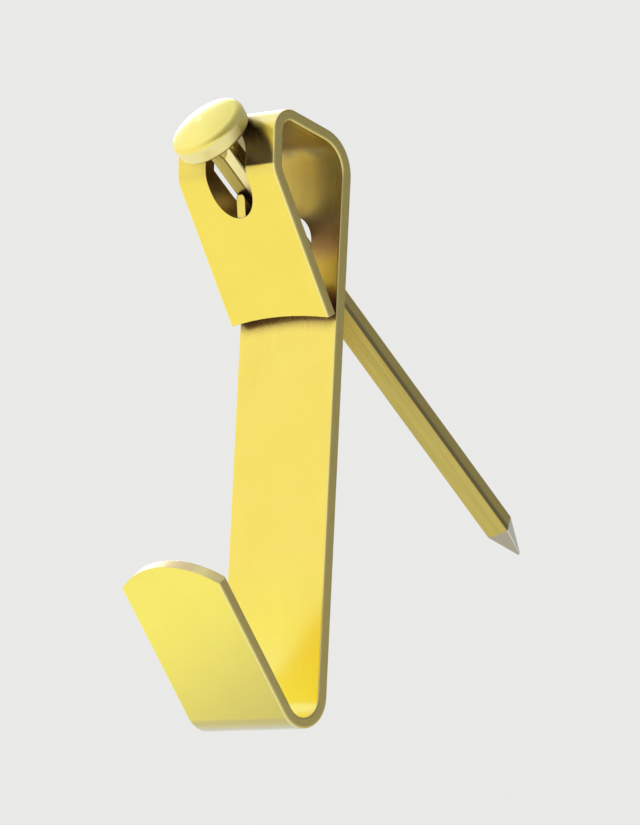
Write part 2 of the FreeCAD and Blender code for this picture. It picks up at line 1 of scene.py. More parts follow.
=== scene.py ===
# %% [markdown]
# # A picture hook and its nail
#
# The object is small and simple: one strip of brass-plated sheet steel, folded into a
# catch below and a loop above, and a square nail that slants down through the loop.
# Everything that makes it look real is in the metal, so this lesson is mostly about
# light, and about what happens to plating on faces, on sheared edges and in folds.
#
# The strip and the nail arrive as finished solids, in metres, already in place. The
# wall would be the plane Y = 0, the room is at -Y, and Z is up.

import math

import bpy
import bmesh
from mathutils import Matrix, Vector

millimetre = 0.001
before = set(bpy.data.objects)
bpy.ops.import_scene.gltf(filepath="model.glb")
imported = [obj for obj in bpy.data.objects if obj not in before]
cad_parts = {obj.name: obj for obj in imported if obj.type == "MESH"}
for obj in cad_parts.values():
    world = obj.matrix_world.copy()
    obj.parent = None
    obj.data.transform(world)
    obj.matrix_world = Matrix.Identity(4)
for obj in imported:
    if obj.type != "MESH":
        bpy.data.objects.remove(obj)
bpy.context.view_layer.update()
strip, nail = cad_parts["hook_strip"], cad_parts["nail"]
print("strip and nail:", len(strip.data.polygons), len(nail.data.polygons), "faces")

# %% [markdown]
# ## The camera
#
# A lens shows a form truly only from the place where the photographer stood. Here that
# place is to the right of the hook and a little below it: 46 degrees round from the
# front, looking up by 7 degrees, from 41 cm away, with the hook leaning 2.7 degrees to
# the right in the frame. The same viewpoint is kept, and the hook is only made larger in
# the picture, so that its small forms can be seen.

# %% Find the place and the direction
seen_from_right, seen_from_above, lean = map(math.radians, (46.0, -7.085, 2.72))
distance = 409.5 * millimetre
aimed_near = Vector((0.0, -3.0, 0.0)) * millimetre
middle_of_hook = Vector((-1.62, 4.31, 2.62)) * millimetre

place = aimed_near + distance * Vector((
    math.sin(seen_from_right) * math.cos(seen_from_above),
    -math.cos(seen_from_right) * math.cos(seen_from_above),
    math.sin(seen_from_above)))
backwards = (place - middle_of_hook).normalized()
level_right = Vector((0, 0, 1)).cross(backwards).normalized()
level_up = backwards.cross(level_right)
right = level_right * math.cos(lean) + level_up * math.sin(lean)
up = level_up * math.cos(lean) - level_right * math.sin(lean)
print("camera at", [round(side / millimetre) for side in place], "mm")

# %% [markdown]
# A matrix built from the three directions right, up and backwards is easier to check
# than three angles. The lens follows from how many pixels a millimetre takes up in a
# picture of 825 rows.

# %% Set up the camera
frame_height, pixels_per_millimetre, film = 825, 14.7, 36.0
camera_data = bpy.data.cameras.new("camera")
camera_data.sensor_fit = "VERTICAL"
camera_data.sensor_height = camera_data.sensor_width = film
camera_data.lens = film * pixels_per_millimetre * distance / millimetre / frame_height
camera_data.clip_start = 10 * millimetre
camera = bpy.data.objects.new("camera", camera_data)
camera.matrix_world = Matrix((
    (right.x, up.x, backwards.x, place.x),
    (right.y, up.y, backwards.y, place.y),
    (right.z, up.z, backwards.z, place.z),
    (0, 0, 0, 1)))
bpy.context.scene.collection.objects.link(camera)
bpy.context.scene.camera = camera
print("lens:", round(camera_data.lens), "mm")

# %% [markdown]
# ## A helper for wiring nodes
#
# Every finish below is a small network of nodes. Blender's own calls make each node,
# set it and join it in separate lines. This helper does the three in one, so that a
# line of code says what the metal does. A socket takes a number or another socket.
#
# Most of a finish is arithmetic on masks, which are 1 where something is and 0 where it
# isn't. The product of masks is where all of them are, the larger of two is where either
# is, and one minus a mask is where it isn't. A smooth step turns a measure into a mask.
# The Mix node lists the sockets of every kind of value, so they are found by place:
# numbers at 2 and 3, colours at 6 and 7.

# %% Wiring
class Wiring:
    """Adds nodes to one node tree and joins them."""

    def __init__(self, tree):
        self.nodes, self.links = tree.nodes, tree.links

    def node(self, kind, sockets, **settings):
        """One node, with its settings, and a number or a link in each named socket."""
        made = self.nodes.new(kind)
        for setting, value in settings.items():
            setattr(made, setting, value)
        for label, value in sockets.items():
            self.feed(value, made.inputs[label])
        return made

    def feed(self, value, socket):
        if isinstance(value, bpy.types.NodeSocket):
            self.links.new(value, socket)
        else:
            socket.default_value = value

    def math(self, operation, first, second=0.0):
        return self.node("ShaderNodeMath", {0: first, 1: second},
                         operation=operation).outputs["Value"]

    def times(self, first, *others):
        """The product of masks: where all of them are."""
        for other in others:
            first = self.math("MULTIPLY", first, other)
        return first

    def either(self, first, second):
        return self.math("MAXIMUM", first, second)

    def outside(self, mask):
        return self.math("SUBTRACT", 1.0, mask)

    def step(self, value, low, high, to_low=0.0, to_high=1.0):
        """A smooth step from one amount to another as the value crosses a range."""
        return self.node(
            "ShaderNodeMapRange",
            {"Value": value, "From Min": low, "From Max": high,
             "To Min": to_low, "To Max": to_high},
            interpolation_type="SMOOTHSTEP").outputs["Result"]

    def mix(self, factor, first, second, blend="MIX"):
        return self.node("ShaderNodeMix", {0: factor, 6: first, 7: second},
                         data_type="RGBA", blend_type=blend).outputs[2]

    def between(self, factor, first, second):
        """From one number to another."""
        return self.node("ShaderNodeMix", {0: factor, 2: first, 3: second}).outputs[0]


print("wiring ready")

# %% [markdown]
# A finish also needs patterns and directions. Noise is the usual pattern for metal,
# because nothing on it repeats. A dot product tells how far a surface faces one way. A
# node group is placed like any node, with its own values.

# %% Patterns and directions
class Finish(Wiring):
    """A wiring that knows patterns, directions and shared effects."""

    def noise(self, place, scale, detail=3.0, roughness=0.5):
        return self.node(
            "ShaderNodeTexNoise",
            {"Vector": place, "Scale": scale, "Detail": detail, "Roughness": roughness}
        ).outputs["Fac"]

    def dot(self, vector, direction):
        return self.node("ShaderNodeVectorMath", {0: vector, 1: direction},
                         operation="DOT_PRODUCT").outputs["Value"]

    def scaled(self, vector, factors):
        return self.node("ShaderNodeVectorMath", {0: vector, 1: factors},
                         operation="MULTIPLY").outputs["Vector"]

    def axes(self, vector):
        return self.node("ShaderNodeSeparateXYZ", {"Vector": vector}).outputs

    def effect(self, group, **inputs):
        """A node group placed here, with its own values."""
        placed = self.nodes.new("ShaderNodeGroup")
        placed.node_tree = group
        for label, value in inputs.items():
            self.feed(value, placed.inputs[label])
        return placed.outputs


def new_material(name):
    """A material with one Principled surface, and its wiring."""
    material = bpy.data.materials.new(name)
    material.use_nodes = True
    material.node_tree.nodes.clear()
    wire = Finish(material.node_tree)
    surface = wire.node("ShaderNodeBsdfPrincipled", {})
    wire.node("ShaderNodeOutputMaterial", {"Surface": surface.outputs["BSDF"]})
    return material, wire, surface


print("finishes can be made")

# %% [markdown]
# ## The studio
#
# Metal shows what is round it, so the room matters as much as the lamp. A pale floor
# lies below the hook: one flat, wide disc. A curved backdrop would hide the floor's far
# edge, but it would show as a bend in the metal.

# %% Lay the floor
floor_height, floor_reach, floor_sides = -60 * millimetre, 3.0, 96
floor_mesh = bpy.data.meshes.new("floor")
form = bmesh.new()
bmesh.ops.create_circle(form, cap_ends=True, segments=floor_sides, radius=floor_reach,
                        matrix=Matrix.Translation((0, 0, floor_height)))
form.to_mesh(floor_mesh)
form.free()
floor = bpy.data.objects.new("floor", floor_mesh)
bpy.context.scene.collection.objects.link(floor)
print("floor at", floor_height / millimetre, "mm, reaching", floor_reach, "m")

# %% [markdown]
# The floor is matt paper, faintly uneven. It glows a little for the camera and for
# mirror rays, so that it looks pale, and the metal shows a pale floor too. More light
# would also make it pale, but would wash out the metal. As the glow is only added, the
# floor keeps the object's shadow.

# %% Cover it with paper
darker_paper, paler_paper = (0.74, 0.74, 0.73, 1), (0.79, 0.79, 0.78, 1)
glow_seen, glow_mirrored = (0.36, 0.36, 0.355, 1), (0.42, 0.42, 0.415, 1)
no_glow = (0, 0, 0, 1)

paper, wire, surface = new_material("pale_paper")
mottle = wire.noise(wire.node("ShaderNodeTexCoord", {}).outputs["Object"], 9.0, 2.0)
wire.feed(wire.mix(mottle, darker_paper, paler_paper), surface.inputs["Base Color"])
ray = wire.node("ShaderNodeLightPath", {}).outputs
for_mirrors = wire.mix(ray["Is Glossy Ray"], no_glow, glow_mirrored)
wire.feed(wire.mix(ray["Is Camera Ray"], for_mirrors, glow_seen),
          surface.inputs["Emission Color"])
surface.inputs["Emission Strength"].default_value = 1.0
surface.inputs["Roughness"].default_value = 0.9
surface.inputs["Specular IOR Level"].default_value = 0.2
floor_mesh.materials.append(paper)
print("paper:", len(wire.nodes), "nodes")

# %% [markdown]
# The air round the hook is bright on the left, as beside a large window, and dimmer on
# the right. That one difference models every fold: faces that mirror the left are pale,
# and faces that mirror the right are deep. It could be done with large lamps, but metal
# would mirror their edges. Here it is a world whose brightness depends only on
# direction: a dot product with the window's direction, stepped smoothly. The camera
# itself sees one even pale tone, so that every view has the same plain background.

# %% Light the air
window_side = Vector((-1.0, -0.35, 0.10)).normalized()
dim, bright, background = 0.36, 1.0, 0.82
dim_until, bright_from = -0.35, 0.90

world = bpy.data.worlds.new("studio_air")
bpy.context.scene.world = world
world.use_nodes = True
wire = Finish(world.node_tree)
towards = wire.node("ShaderNodeTexCoord", {}).outputs["Generated"]
air = wire.step(wire.dot(towards, window_side), dim_until, bright_from, dim, bright)
camera_ray = wire.node("ShaderNodeLightPath", {}).outputs["Is Camera Ray"]
wire.feed(wire.between(camera_ray, air, background),
          wire.nodes["Background"].inputs["Strength"])
wire.nodes["Background"].inputs["Color"].default_value = (1.0, 1.0, 0.985, 1)
print("air from", dim, "to", bright)

# %% [markdown]
# A world alone gives no highlight with a shape. One soft lamp, high on the left and
# behind the hook, is mirrored only by the rounded places that face it: the nail's dome,
# the top bend and the tip of the catch. Its power is low, so that little clips.

# %% Hang the lamp
lamp_place, lamp_size, lamp_watts = Vector((-0.63, 0.36, 0.38)), 0.34, 1.0
lamp_data = bpy.data.lights.new("window_lamp", "AREA")
lamp_data.shape, lamp_data.size, lamp_data.energy = "SQUARE", lamp_size, lamp_watts
lamp = bpy.data.objects.new("window_lamp", lamp_data)
lamp.location = lamp_place
lamp.rotation_euler = (lamp_place - middle_of_hook).to_track_quat("Z", "Y").to_euler()
bpy.context.scene.collection.objects.link(lamp)
bpy.context.scene.view_settings.view_transform = "Standard"
print("one lamp,", round((lamp_place - middle_of_hook).length, 2), "m away")

# %% [markdown]
# ## Effects that both metals share
#
# The strip is rolled and the nail is drawn, so both have a fine grain along their
# length. Both are plated, handled and a little worn. Each of these effects is one node
# group with named inputs, so that the strip and the nail use it at their own strength.
# Everything is measured in millimetres on the object itself.

# %% A helper for node groups
vector_kind, number_kind = "NodeSocketVector", "NodeSocketFloat"
colour_kind = "NodeSocketColor"


def new_effect(name, inputs, outputs):
    """An empty node group; inputs are (name, kind, value), outputs (name, kind)."""
    group = bpy.data.node_groups.new(name, "ShaderNodeTree")
    for label, kind, value in inputs:
        socket = group.interface.new_socket(label, in_out="INPUT", socket_type=kind)
        if value is not None:
            socket.default_value = value
    for label, kind in outputs:
        group.interface.new_socket(label, in_out="OUTPUT", socket_type=kind)
    wire = Finish(group)
    given = wire.node("NodeGroupInput", {}).outputs
    made = wire.node("NodeGroupOutput", {}).inputs
    return group, wire, given, made


print("effects can be made")

# %% [markdown]
# **Grain.** Rolling and drawing leave hair-fine lines along the length. An anisotropic
# shader would smear highlights along them, but shows no line. Noise whose space is
# squeezed across the piece and stretched along it does. The stretch is an input,
# because the strip runs up and down and the nail runs aslant.

# %% Grain
fine_share = 0.2
grain, wire, given, made = new_effect(
    "drawn_grain",
    [("Place", vector_kind, None), ("Stretch", vector_kind, (1, 1, 1))],
    [("Height", number_kind), ("Streaks", number_kind)])
squeezed = wire.scaled(given["Place"], given["Stretch"])
broad = wire.noise(squeezed, 3.2, 4.0)
fine = wire.times(wire.noise(squeezed, 6.0, 2.0), fine_share)
wire.feed(wire.math("ADD", fine, broad), made["Height"])
wire.feed(wire.step(broad, 0.35, 0.68), made["Streaks"])
print("grain:", len(wire.nodes), "nodes")

# %% [markdown]
# **Handling marks.** Small hooks are tumbled and packed loose, so they carry fine
# scratches at several slants. The edges between the cells of a long, stretched Voronoi
# pattern are thin lines, and a coarse noise keeps only a few of them. Drawing each
# scratch by hand would give the same look, but only on one piece.

# %% Handling marks
slants_and_scales = ((0.5, 0.55), (1.9, 0.8), (2.7, 1.2))
long_cells, hair_width = (1.0, 0.3, 0.07), 0.03

marks, wire, given, made = new_effect(
    "handling_marks",
    [("Place", vector_kind, None), ("Density", number_kind, 0.5)],
    [("Mask", number_kind)])
scratches = 0.0
for slant, scale in slants_and_scales:
    slanted = wire.node("ShaderNodeVectorRotate",
                        {"Vector": given["Place"], "Rotation": (0, slant, 0)},
                        rotation_type="EULER_XYZ").outputs["Vector"]
    to_edge = wire.node("ShaderNodeTexVoronoi",
                        {"Vector": wire.scaled(slanted, long_cells), "Scale": scale},
                        feature="DISTANCE_TO_EDGE").outputs["Distance"]
    hair = wire.step(to_edge, 0.0, hair_width, 1.0, 0.0)
    here_and_there = wire.step(wire.noise(slanted, 0.7, 2.0), 0.52, 0.66)
    scratches = wire.either(wire.times(hair, here_and_there), scratches)
wire.feed(wire.times(scratches, given["Density"]), made["Mask"])
print("marks:", len(wire.nodes), "nodes")

# %% [markdown]
# **Soft arrises.** No pressed or cut edge is perfectly sharp. The Bevel node gives the
# normal that the surface would have with its edges rounded. Used as the normal it
# catches a line of light on each arris, and where it differs from the true normal it
# tells where the plating is rubbed. Real rounding of every edge would cost many faces.

# %% Soft arrises
arris_radius = 0.09 * millimetre
arris, wire, given, made = new_effect(
    "soft_arris",
    [("Wear", number_kind, 0.5)],
    [("Normal", vector_kind), ("Rubbed", number_kind)])
rounded = wire.node("ShaderNodeBevel", {"Radius": arris_radius}, samples=6).outputs["Normal"]
true_face = wire.node("ShaderNodeNewGeometry", {}).outputs["Normal"]
turned_away = wire.step(wire.dot(rounded, true_face), 0.80, 0.995, 1.0, 0.0)
wire.feed(wire.times(turned_away, given["Wear"]), made["Rubbed"])
wire.feed(rounded, made["Normal"])
print("arris:", len(wire.nodes), "nodes")

# %% [markdown]
# ** Folds and crevices.** In a fold the plating is given another colour, painted shade and
# painted reflections, and a crevice is painted dark, painted shade. Ambient Occlusion finds
# both: it tells how open a point is to what lies within reach, a long reach for the folds
# and a short one for the crevices. Both could be painted, but this finds them by itself.

# %% Begin the plating tone
fold_reach, crevice_reach = 9.0 * millimetre, 1.3 * millimetre
tone, wire, given, made = new_effect(
    "plating_tone",
    [("Place", vector_kind, None), ("Open", colour_kind, None),
     ("Cloud", colour_kind, None), ("Fold", colour_kind, None),
     ("Stain", colour_kind, None), ("Sheltered", number_kind, 0.98),
     ("Staining", number_kind, 0.5)],
    [("Color", colour_kind), ("Closed", number_kind), ("Crevice", number_kind),
     ("Clouds", number_kind)])


def openness(reach):
    """How open a point is, from 0 to 1, to what lies within the reach."""
    return wire.node("ShaderNodeAmbientOcclusion", {"Distance": reach},
                     samples=6).outputs["AO"]


# Painted shade: closed-in folds take the Fold colour, and crevices a dark one.
closed = wire.step(openness(fold_reach), 0.15, given["Sheltered"], 1.0, 0.0)
crevice = wire.times(wire.step(openness(crevice_reach), 0.56, 0.90, 1.0, 0.0),
                     given["Staining"])
print("folds and crevices found")

# %% [markdown]
# **Clouds and specks.** Brass plating is never one colour. It clouds a little over a few
# millimetres and has pin-sized specks. Two noises of very different size give the two,
# and the tones are laid over each other from the most common to the rarest.

# %% Finish the plating tone
cloud_weight, speck_weight = 0.6, 0.2
clouds = wire.step(wire.noise(given["Place"], 0.28, 4.0, 0.6), 0.35, 0.7)
specks = wire.step(wire.noise(given["Place"], 9.0, 2.0), 0.70, 0.78)
clouded = wire.mix(wire.times(clouds, cloud_weight), given["Open"], given["Cloud"])
speckled = wire.mix(wire.times(specks, speck_weight), clouded, given["Stain"])
folded = wire.mix(closed, speckled, given["Fold"])
wire.feed(wire.mix(crevice, folded, given["Stain"]), made["Color"])
for label, mask in (("Closed", closed), ("Crevice", crevice), ("Clouds", clouds)):
    wire.feed(mask, made[label])
print("tone:", len(wire.nodes), "nodes")

# %% [markdown]
# ## The strip's metal
#
# Every mask on the strip asks one of two questions: where is this point, and which way
# does the surface face there? The Texture Coordinate node answers both in the object's
# own frame, so that the finish stays in place whatever turns. Heights below are
# millimetres up the wall, from the middle of the strip.

# %% Where a point of the strip is, and where it faces
def placed(wire):
    """The point on the object, in millimetres, and the direction its surface faces."""
    where = wire.node("ShaderNodeTexCoord", {}).outputs
    measured = wire.node("ShaderNodeVectorMath",
                         {0: where["Object"], "Scale": 1 / millimetre},
                         operation="SCALE").outputs["Vector"]
    return measured, where["Normal"]


strip_metal, wire, surface = new_material("plated_strip")
point, facing = placed(wire)
at, faces = wire.axes(point), wire.axes(facing)
sideways = wire.math("ABSOLUTE", faces["X"])
print("strip's coordinates ready")

# %% [markdown]
# **Sheared edges.** The sheet is plated before the strip is cut and folded, so the cut
# edges have only the golden lacquer that the finished hooks are tumbled in. They are
# duller, browner and rougher than the lemon-yellow faces. They could be a second
# material on chosen faces, but a mask needs no list of faces. The strip has the same
# width everywhere, so a long edge is simply where the surface faces left or right. The
# two cut ends face along the sheet, and are found by their direction and height.

# %% Sheared edges and cut ends
lip_lean, flap_lean = math.radians(39.5), math.radians(32.0)


def cut_end(direction, low, high):
    """Where the surface faces a cut end's direction, between two heights."""
    above = wire.step(at["Z"], low, low + 0.01)
    below = wire.step(at["Z"], high, high + 0.01, 1.0, 0.0)
    return wire.times(wire.step(wire.dot(facing, direction), 0.90, 0.97), above, below)


lip_end = cut_end((0, -math.sin(lip_lean), math.cos(lip_lean)), -14.0, -4.0)
flap_end = cut_end((0, math.sin(flap_lean), -math.cos(flap_lean)), 5.0, 11.0)
long_edge = wire.step(sideways, 0.60, 0.85)
sheared = wire.either(long_edge, wire.either(lip_end, flap_end))
print("edges and cut ends found")

# %% [markdown]
# ** The loop's bands.** The lacquer wears off outside and stays inside the loop. There the
# colour is painted in bands, painted reflections and shade: gold low down, a brown band above
# the slot, gold again, and a dark band under the top bend. An image could show them, but
# would have to be fitted to the fold. A colour ramp over the height gives the same bands, its
# stops can be read like a list, and a slow noise keeps them from being straight.

# %% Bands inside the loop
# Painted reflections and shade, in bands up the loop.
bands = ((8.0, (1.0, 0.82, 0.27)), (12.2, (1.0, 0.82, 0.27)), (13.2, (0.74, 0.56, 0.38)),
         (14.8, (0.66, 0.50, 0.30)), (15.6, (0.72, 0.55, 0.14)), (19.2, (0.68, 0.50, 0.12)),
         (19.9, (0.30, 0.22, 0.14)), (20.7, (0.36, 0.28, 0.17)), (21.4, (0.70, 0.52, 0.23)))
ramp_from, ramp_to = 8.0, 22.0
rise = ramp_to - ramp_from

uneven = wire.math("SUBTRACT", wire.noise(point, 0.5), 0.5)
waved = wire.math("ADD", at["Z"], wire.times(uneven, 2.0))
share = wire.math("DIVIDE", wire.math("SUBTRACT", waved, ramp_from), rise)
ramp = wire.node("ShaderNodeValToRGB", {"Fac": share})
stops = ramp.color_ramp.elements
for number, (height, colour) in enumerate(bands):
    stop = stops[number] if number < 2 else stops.new(1.0)
    stop.position = (height - ramp_from) / rise
    stop.color = (*colour, 1)
print("bands:", len(bands))

# %% [markdown]
# Along the right-hand edge of the loop, and on the left, where the head shades it, the
# colour is painted dark: painted shade. Both begin at the height of the slot, and the same
# slow noise frays their borders.

# %% Painted shade inside the loop
right_shade_tone, left_shade_tone = (0.20, 0.16, 0.10, 1), (0.12, 0.07, 0.035, 1)
# Painted shade along both sides of the loop.
by_the_slot = wire.step(at["Z"], 14.5, 16.0)
frayed = wire.math("ADD", at["X"], uneven)
right_shade = wire.times(by_the_slot, wire.step(frayed, 1.6, 3.4))
left_shade = wire.times(by_the_slot, wire.step(frayed, -0.9, -2.3))
right_shaded = wire.mix(wire.times(right_shade, 0.7), ramp.outputs["Color"], right_shade_tone)
painted_loop_colour = wire.mix(wire.times(left_shade, 0.95), right_shaded, left_shade_tone)
print("loop stained")

# %% [markdown]
# ** The plating.** The faces that look down and forward, the flap and the lip, are given a
# brighter colour than the flat back of the strip, and the lip is almost lemon. Inside the
# catch the fold keeps a deep yellow, paler towards the bend, a painted highlight. Separate
# materials would meet at a hard line, while tones mixed by direction and height fade into
# each other. The four shared effects are placed here with the strip's own values.

# %% Plate the strip
back_tone, cloud_tint = (0.95, 0.77, 0.156, 1), (0.975, 0.955, 0.88, 1)
lip_tone, flap_tone = (1.0, 0.885, 0.165, 1), (1.0, 0.815, 0.14, 1)
catch_tone, bend_highlight_tone = (1.0, 0.88, 0.12, 1), (1.0, 0.90, 0.22, 1)

in_the_loop = wire.step(at["Z"], -4.0, 7.5)
outward = wire.step(faces["Z"], -0.20, -0.50)
down_facing_tone = wire.mix(in_the_loop, lip_tone, flap_tone)
plating = wire.mix(outward, back_tone, down_facing_tone)
clouding = wire.mix(1.0, plating, cloud_tint, "MULTIPLY")
# Inside the catch the fold colour is paler towards the bend: a painted highlight.
in_the_catch = wire.mix(wire.step(at["Z"], -12.5, -16.0), catch_tone, bend_highlight_tone)
fold_painted_tone = wire.mix(in_the_loop, in_the_catch, painted_loop_colour)

toned = wire.effect(tone, Place=point, Open=plating, Cloud=clouding, Fold=fold_painted_tone,
                    Stain=(0.26, 0.135, 0.065, 1), Sheltered=0.98, Staining=in_the_loop)
lines = wire.effect(grain, Place=point, Stretch=(1.0, 0.035, 0.035))
scratched = wire.effect(marks, Place=point, Density=0.8)
softened = wire.effect(arris, Wear=0.5)
print("plated")

# %% [markdown]
# ** The head's painted shadow.** Beside the nail's head the brow is painted dark: a painted
# shadow and reflection of the head. It is round, like the head that casts it, and ends where
# the sheet bends down into the flap. So it is a distance from a point, cut off by three
# steps.

# %% Paint the head's shadow on the brow
head_shadow_tone = (0.085, 0.063, 0.045, 1)
head_shadow_middle, head_shadow_radius, head_shadow_fade = (1.6, -7.5, 17.9), 3.1, 0.3
brow_depth, knee_height = -7.1, 17.8

# A painted shadow of the head on the brow.
from_middle = wire.node("ShaderNodeVectorMath", {0: point, 1: head_shadow_middle},
                        operation="DISTANCE").outputs["Value"]
rough_rim = wire.math("ADD", from_middle, wire.times(uneven, 0.5))
head_shadow_mask = wire.times(
    wire.step(rough_rim, head_shadow_radius - head_shadow_fade, head_shadow_radius + head_shadow_fade, 1.0, 0.0),
    wire.step(at["Y"], brow_depth + 0.1, brow_depth - 0.1),
    wire.step(at["X"], 0.9, 1.3),
    wire.step(at["Z"], knee_height - 0.1, knee_height + 0.05))
head_shadowed = wire.mix(wire.times(head_shadow_mask, 0.95), toned["Color"], head_shadow_tone)
print("stain radius", head_shadow_radius, "mm")

# %% [markdown]
# ** The catch's outside.** The outer face of the catch is painted darker and duller towards
# the bend, and more on the right: painted shade. Under the bend runs a dull, darker line,
# and below that a grey line is painted along the lowest part of the bend, a painted
# reflection. Height and direction together find each of them.

# %% Paint shade and a reflection on the catch
bend_shade_tone, line_tone = (0.58, 0.50, 0.15, 1), (0.52, 0.45, 0.22, 1)
bend_reflection_tone = (0.52, 0.51, 0.38, 1)

# Painted shade: darker towards the bend.
towards_bend = wire.dot(point, (0.35, 0.0, -1.0))
shaded_towards_bend = wire.times(wire.step(towards_bend, 11.5, 23.0), outward)
# A painted reflection: a grey line along the lowest part of the bend.
lowest = wire.times(wire.step(at["Z"], -19.95, -19.6, 1.0, 0.0),
                    wire.step(faces["Z"], -0.80, -0.97))
dull_line = wire.times(wire.step(at["Z"], -19.55, -19.3, 1.0, 0.0),
                       wire.step(faces["Z"], -0.55, -0.75),
                       wire.outside(lowest))
bend_shaded = wire.mix(wire.times(shaded_towards_bend, 0.85), head_shadowed, bend_shade_tone)
lined = wire.mix(wire.times(dull_line, 0.6), bend_shaded, line_tone)
bend_reflected = wire.mix(wire.times(lowest, 0.85), lined, bend_reflection_tone)
print("catch worn")

# %% [markdown]
# ** Painted highlights.** The top bend is painted paler than the faces: a painted highlight.
# The long edges of the faces are rolled over by the shear, and a pale line is painted on
# them, a painted highlight, weaker inside the loop. The last, thinnest line of wear is the
# rubbed arris that the Bevel node found.

# %% Paint highlights on the crown and the arrises
crown_highlight_tone, edge_highlight_tone = (1.0, 0.95, 0.50, 1), (1.0, 0.94, 0.58, 1)
rubbed_tone = (0.90, 0.80, 0.42, 1)

# A painted highlight on the top bend.
crown = wire.times(wire.step(faces["Z"], 0.05, 0.45), wire.step(at["Z"], 19.5, 20.3),
                   wire.outside(toned["Closed"]))
crown_highlighted = wire.mix(wire.times(crown, 0.7), bend_reflected, crown_highlight_tone)
# A painted highlight along the long edges, weaker inside the loop.
weaker_in_loop = wire.outside(wire.times(toned["Closed"], in_the_loop, 0.85))
rolled = wire.times(wire.step(sideways, 0.08, 0.30),
                    wire.step(sideways, 0.55, 0.78, 1.0, 0.0), weaker_in_loop)
edge_highlighted = wire.mix(wire.times(rolled, 0.6), crown_highlighted, edge_highlight_tone)
face_colour = wire.mix(softened["Rubbed"], edge_highlighted, rubbed_tone)
print("crown and arrises polished")

# %% [markdown]
# ** Sheared metal.** Shearing tears the steel, and a fine noise shows the tearing under
# the lacquer. The punched walls of the slot are smoother and paler, and painted dark at the
# top, painted shade under the nail's head. The flap's end and the crevices are painted
# brown, painted shade. At last the edges and the faces come together in one colour.

# %% The strip's colour
torn_dark, torn_pale = (0.53, 0.44, 0.145, 1), (0.65, 0.55, 0.225, 1)
punched_tone, flap_end_shade_tone = (0.80, 0.66, 0.36, 1), (0.32, 0.20, 0.10, 1)
edge_shade_tone = (0.12, 0.07, 0.035, 1)

torn = wire.noise(point, 7.0, 4.0, 0.65)
slot_wall = wire.step(wire.math("ABSOLUTE", at["X"]), 4.4, 4.2)
punched = wire.mix(slot_wall, wire.mix(torn, torn_dark, torn_pale), punched_tone)
# The flap's end is painted brown: painted shade.
flap_end_shaded = wire.mix(flap_end, punched, flap_end_shade_tone)
# Painted shade at the top of the slot's walls and in the crevices.
shaded_high_wall = wire.times(slot_wall, wire.step(at["Z"], 15.5, 17.5), 0.9)
edge_shade = wire.either(toned["Crevice"], shaded_high_wall)
edge_colour = wire.mix(edge_shade, flap_end_shaded, edge_shade_tone)
wire.feed(wire.mix(sheared, face_colour, edge_colour), surface.inputs["Base Color"])
surface.inputs["Metallic"].default_value = 1.0
print("strip coloured")

# %% [markdown]
# **Gloss.** The plated faces are nearly mirrors, softened by the grain and, in the loop,
# by the lacquer. The sheared edges are about twice as rough, and vary with the tearing.
# The masks that coloured the metal serve again here, so gloss and colour change at the
# same borders.

# %% The strip's gloss
plated_roughness, lacquer_adds, streaks_add = 0.18, 0.22, 0.06
edge_roughness = (0.30, 0.46)

clouded_or_closed = wire.either(toned["Closed"], wire.times(toned["Clouds"], 0.3))
lacquered = wire.times(clouded_or_closed, in_the_loop, lacquer_adds)
streaky = wire.times(lines["Streaks"], streaks_add)
face_gloss = wire.math("ADD", wire.math("ADD", plated_roughness, lacquered), streaky)
edge_gloss = wire.step(torn, 0.3, 0.7, *edge_roughness)
wire.feed(wire.between(sheared, face_gloss, edge_gloss), surface.inputs["Roughness"])
print("strip's roughness from", plated_roughness, "to", edge_roughness[1])

# %% [markdown]
# **Relief.** Real relief on plated sheet is less than a thousandth of a millimetre deep,
# and the Bump node is given just that. More would look like cast metal. The scratches
# lie below the grain, and the torn edges are several times as deep.

# %% The strip's relief
relief_depth = 0.0004 * millimetre
scratch_depth, torn_depth = 1.6, 9.0


def give_relief(wire, surface, height, normal):
    """Relief on the surface; the height is in units of the relief's depth."""
    bump = wire.node("ShaderNodeBump", {"Height": height, "Normal": normal,
                                        "Strength": 1.0, "Distance": relief_depth})
    wire.feed(bump.outputs["Normal"], surface.inputs["Normal"])


def cover(piece, material):
    for slot in piece.material_slots:
        slot.material = material


scored = wire.math("SUBTRACT", lines["Height"], wire.times(scratched["Mask"], scratch_depth))
relief = wire.math("ADD", scored, wire.times(torn, sheared, torn_depth))
give_relief(wire, surface, relief, softened["Normal"])
cover(strip, strip_metal)
print("strip's material:", len(wire.nodes), "nodes")

# %% [markdown]
# ## The nail's metal
#
# The nail is drawn wire with a cold-formed head. The dome was pressed smooth by the
# heading die and is the palest thing on the object. The shank is duller, with drawing
# lines along it. The point was pinched off last, so it is bare, grey metal.
#
# All of this is placed in the nail's own frame: the position is turned until the nail
# lies level along Y, and then about the nail until the square faces X and Z. The head,
# the point and the height of the axis are read from the solid's own corners, so that
# the masks fit this very nail.

# %% The nail's own frame
nail_fall, shank_turn = math.radians(38.3), math.radians(23.0)
head_depth, point_length = 1.95, 2.7
level = Matrix.Rotation(nail_fall, 3, "X")
corners = [level @ vertex.co / millimetre for vertex in nail.data.vertices]
crown_at, tip_at = min(corner.y for corner in corners), max(corner.y for corner in corners)
at_the_tip = [corner.z for corner in corners if corner.y > tip_at - 0.01]
axis_height = sum(at_the_tip) / len(at_the_tip)
underside, shank_end = crown_at + head_depth, tip_at - point_length
print("nail from", round(crown_at, 2), "to", round(tip_at, 2), "mm")
print("axis at", round(axis_height, 2), "mm")

# %% [markdown]
# The same two turns are made in the material with Vector Rotate nodes. A second object
# could carry the frame instead, but then the finish would depend on two things. The
# position after the first turn is also the one that the grain follows.

